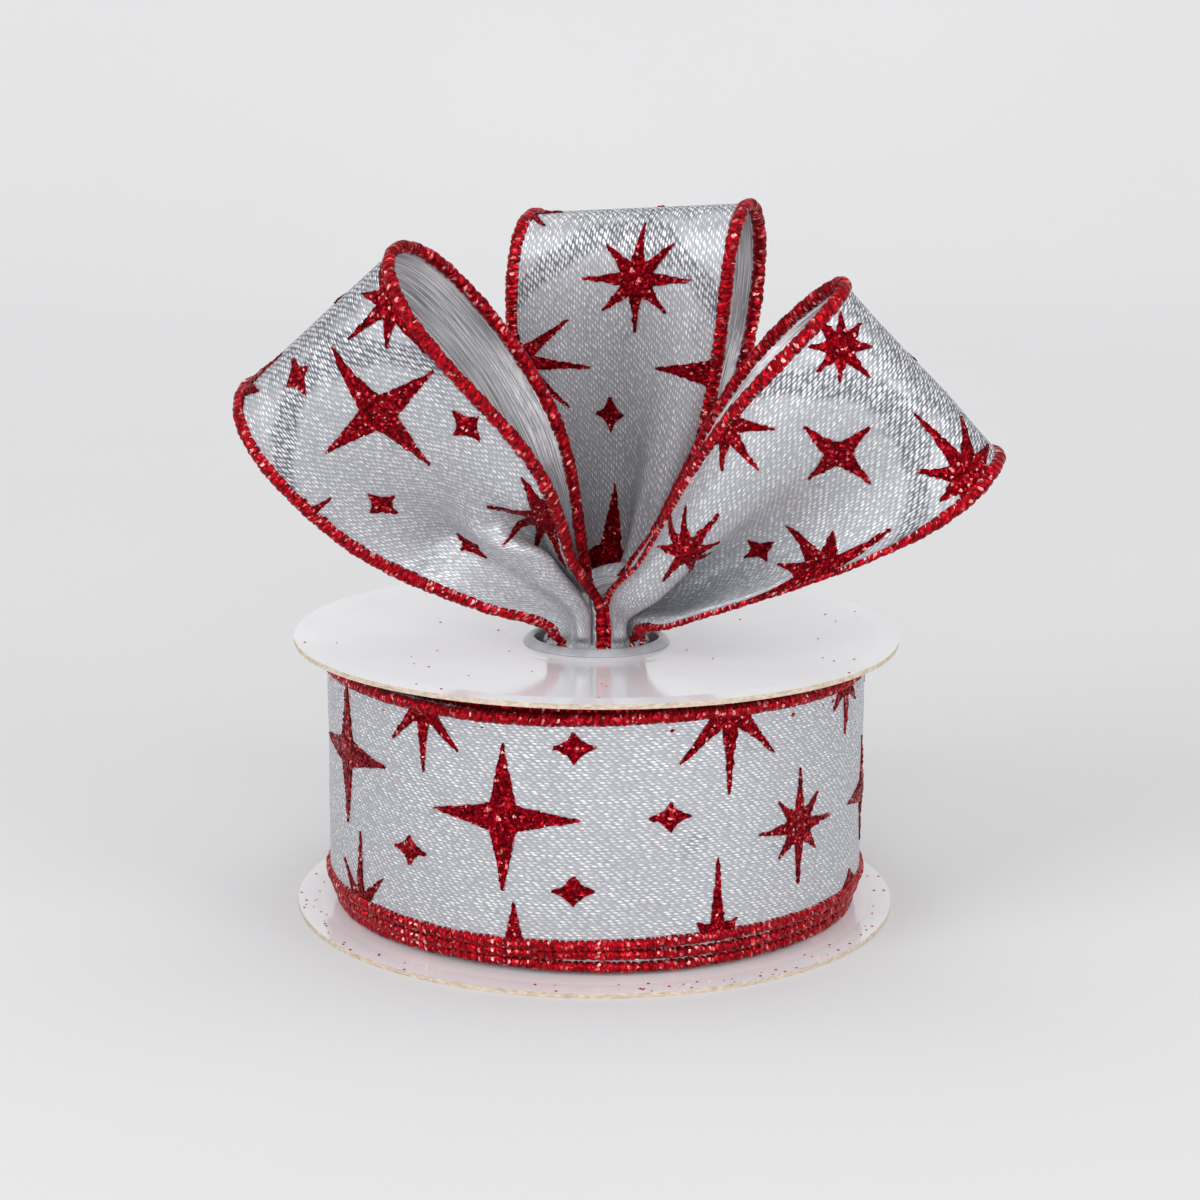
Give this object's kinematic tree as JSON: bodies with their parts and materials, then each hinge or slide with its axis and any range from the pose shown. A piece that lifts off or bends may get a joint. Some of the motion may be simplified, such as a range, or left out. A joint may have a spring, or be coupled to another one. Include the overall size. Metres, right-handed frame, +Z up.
{
  "type": "wired ribbon spool with bow",
  "caption": "Dished two-flange spool of silver wired ribbon with red stitched edges and glitter stars, and a three-loop bow of the same ribbon standing in its hub hole",
  "frame": {"origin": "on the spool's axis, in the plane that the bottom rim stands on", "axes": "+Z up along the spool's axis, the bow faces -Y, +X to the right seen from the front"},
  "size_m": [0.1215, 0.1016, 0.1191],
  "materials": {
    "flange_board": "glossy white coated board, bare tan edge",
    "core_board": "bare brown board",
    "collar_plastic": "glossy grey moulded plastic",
    "tape": "clear matt tape",
    "wire": "thin bright steel wire",
    "stitched_edge": "overlocked red metallic thread with glitter",
    "ribbon_web": "silver metallic woven ribbon with red glitter stars"
  },
  "bodies": {
    "spool": {"bottom_flange": "flange_board", "top_flange": "flange_board", "core_tube": "core_board", "bottom_collar": "collar_plastic", "top_collar": "collar_plastic", "core_tape": "tape", "end_tape": "tape", "inner_turns_web": "ribbon_web", "inner_turns_bottom_edge": "stitched_edge", "inner_turns_top_edge": "stitched_edge", "outer_turn_web": "ribbon_web", "outer_turn_bottom_edge": "stitched_edge", "outer_turn_top_edge": "stitched_edge", "outer_turn_wires": "wire", "second_turn_web": "ribbon_web", "second_turn_bottom_edge": "stitched_edge", "second_turn_top_edge": "stitched_edge", "second_turn_wires": "wire", "third_turn_web": "ribbon_web", "third_turn_bottom_edge": "stitched_edge", "third_turn_top_edge": "stitched_edge", "third_turn_wires": "wire", "fourth_turn_web": "ribbon_web", "fourth_turn_bottom_edge": "stitched_edge", "fourth_turn_top_edge": "stitched_edge", "fourth_turn_wires": "wire"},
    "bow": {"bow_stem": "ribbon_web", "bow_tie_wire": "wire"},
    "left_loop": {"left_loop_web": "ribbon_web", "left_loop_left_edge": "stitched_edge", "left_loop_left_wire": "wire", "left_loop_right_edge": "stitched_edge", "left_loop_right_wire": "wire"},
    "middle_loop": {"middle_loop_web": "ribbon_web", "middle_loop_left_edge": "stitched_edge", "middle_loop_left_wire": "wire", "middle_loop_right_edge": "stitched_edge", "middle_loop_right_wire": "wire"},
    "right_loop": {"right_loop_web": "ribbon_web", "right_loop_left_edge": "stitched_edge", "right_loop_left_wire": "wire", "right_loop_right_edge": "stitched_edge", "right_loop_right_wire": "wire"}
  },
  "joints": [
    {"name": "bow_lift", "type": "slide", "parent": "spool", "child": "bow", "axis": [0, 0, 1], "range_m": [0, 0.03]},
    {"name": "left_loop_fan", "type": "hinge", "parent": "bow", "child": "left_loop", "pos_m": [-0.0009, -0.0078, 0.046], "axis": [-0.1805, -0.9272, -0.3284], "range_deg": [-5, 10]},
    {"name": "middle_loop_tilt", "type": "hinge", "parent": "bow", "child": "middle_loop", "pos_m": [0, 0.0075, 0.046], "axis": [0.9477, -0.2952, -0.1217], "range_deg": [-15, 0]},
    {"name": "right_loop_fan", "type": "hinge", "parent": "bow", "child": "right_loop", "pos_m": [0.0009, -0.0083, 0.046], "axis": [-0.1772, -0.9522, -0.2488], "range_deg": [-4, 4]}
  ]
}
